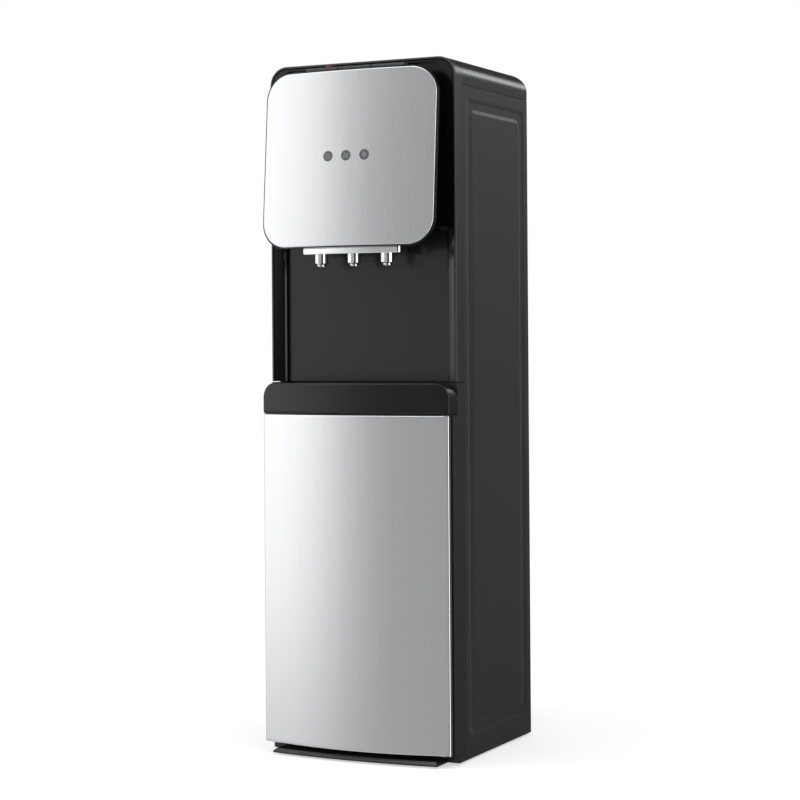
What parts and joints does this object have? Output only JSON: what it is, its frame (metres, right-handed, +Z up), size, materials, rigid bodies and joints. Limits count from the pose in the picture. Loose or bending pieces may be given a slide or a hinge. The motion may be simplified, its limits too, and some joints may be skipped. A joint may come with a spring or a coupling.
{
  "type": "water dispenser",
  "caption": "Tall free-standing bottom-loading water dispenser with a bowed silver door, shallow alcove, drip tray, tilted silver head, push buttons and chrome spouts.",
  "frame": {"origin": "on the floor, under the middle of the whole object", "axes": "+Z up, the front with the door and head faces -Y, +X to the right seen from the front"},
  "size_m": [0.31, 0.3528, 1.038],
  "materials": {
    "satin_silver_door": "satin",
    "satin_silver_head": "satin",
    "grey_steel": "fine grained satin",
    "rear_steel": "satin",
    "frame_plastic": "satin",
    "fascia_plastic": "gloss",
    "alcove_plastic": "satin",
    "tray_plastic": "semi-gloss",
    "button_plastic": "satin",
    "lens_plastic": "gloss",
    "chrome_trim": "polished",
    "liner_plastic": "matte",
    "foot_rubber": "matte",
    "plain_steel": "satin",
    "magnet": "matte",
    "nylon": "matte",
    "stainless": "satin",
    "foam": "matte",
    "black_steel": "semi-gloss",
    "silicone": "satin",
    "white_plastic": "semi-gloss",
    "circuit_board": "satin",
    "lock_plastic": "semi-gloss",
    "red_rocker": "gloss",
    "green_rocker": "gloss"
  },
  "bodies": {
    "cabinet": {"alcove_panel": "alcove_plastic", "ambient_tube": "silicone", "base_pan": "liner_plastic", "bottle_probe": "white_plastic", "button_switches": "circuit_board", "cable_gland": "nylon", "cold_tank": "stainless", "cold_tank_jacket": "foam", "cold_tube": "silicone", "compressor": "black_steel", "compressor_grommets": "foot_rubber", "condenser_clips": "nylon", "condenser_coil": "black_steel", "condenser_wires": "black_steel", "control_board": "circuit_board", "door_magnet": "magnet", "drain_cap": "white_plastic", "drain_spout": "white_plastic", "fascia": "fascia_plastic", "feed_tube": "silicone", "front_arch": "frame_plastic", "head_core": "fascia_plastic", "head_panel": "satin_silver_head", "heater_band": "stainless", "hinge_pins": "plain_steel", "hinge_plates": "plain_steel", "hot_tank": "stainless", "hot_tank_jacket": "foam", "hot_tube": "silicone", "indicator_lenses": "lens_plastic", "lamp_board": "circuit_board", "left_side_panel": "grey_steel", "lower_frame": "frame_plastic", "mid_shelf": "plain_steel", "panel_carrier": "fascia_plastic", "plinth_lip": "frame_plastic", "probe_holder": "nylon", "probe_hose": "silicone", "rear_panel": "rear_steel", "right_side_panel": "grey_steel", "rubber_feet": "foot_rubber", "spout_bar": "chrome_trim", "spouts": "chrome_trim", "switch_housing": "nylon", "tank_tray": "plain_steel", "tap_valves": "white_plastic", "top_cover": "frame_plastic", "water_pump": "white_plastic"},
    "door": {"door_panel": "satin_silver_door", "door_liner": "liner_plastic", "hinge_bushes": "nylon", "door_strike": "plain_steel"},
    "cold_button": {"cold_button": "button_plastic"},
    "ambient_button": {"ambient_button": "button_plastic"},
    "hot_button": {"hot_button": "button_plastic"},
    "child_lock": {"child_lock": "lock_plastic"},
    "drip_tray": {"drip_tray": "tray_plastic"},
    "drip_grille": {"drip_grille": "tray_plastic"},
    "heat_rocker": {"heat_rocker": "red_rocker"},
    "cool_rocker": {"cool_rocker": "green_rocker"}
  },
  "joints": [
    {"name": "door_hinge", "type": "hinge", "parent": "cabinet", "child": "door", "pos_m": [0.1473, -0.1415, 0.2646], "axis": [0, 0, 1], "range_deg": [0, 110]},
    {"name": "tray_slide", "type": "slide", "parent": "cabinet", "child": "drip_tray", "axis": [0, -1, 0], "range_m": [0, 0.09]},
    {"name": "grille_lift", "type": "slide", "parent": "drip_tray", "child": "drip_grille", "axis": [0, 0, 1], "range_m": [0, 0.06]},
    {"name": "heat_rocker_pivot", "type": "hinge", "parent": "cabinet", "child": "heat_rocker", "pos_m": [-0.11, 0.1535, 0.948], "axis": [1, 0, 0], "range_deg": [-14, 0]},
    {"name": "cool_rocker_pivot", "type": "hinge", "parent": "cabinet", "child": "cool_rocker", "pos_m": [-0.09, 0.1535, 0.948], "axis": [1, 0, 0], "range_deg": [-14, 0]},
    {"name": "cold_button_press", "type": "slide", "parent": "cabinet", "child": "cold_button", "axis": [0, 0, -1], "range_m": [0, 0.004], "stiffness_N_per_m": 500, "springref_m": -0.001},
    {"name": "ambient_button_press", "type": "slide", "parent": "cabinet", "child": "ambient_button", "axis": [0, 0, -1], "range_m": [0, 0.004], "stiffness_N_per_m": 500, "springref_m": -0.001},
    {"name": "hot_button_press", "type": "slide", "parent": "cabinet", "child": "hot_button", "axis": [0, 0, -1], "range_m": [0, 0.004], "stiffness_N_per_m": 500, "springref_m": -0.001},
    {"name": "child_lock_slide", "type": "slide", "parent": "hot_button", "child": "child_lock", "axis": [1, 0, 0], "range_m": [0, 0.004], "stiffness_N_per_m": 40, "springref_m": -0.001}
  ]
}
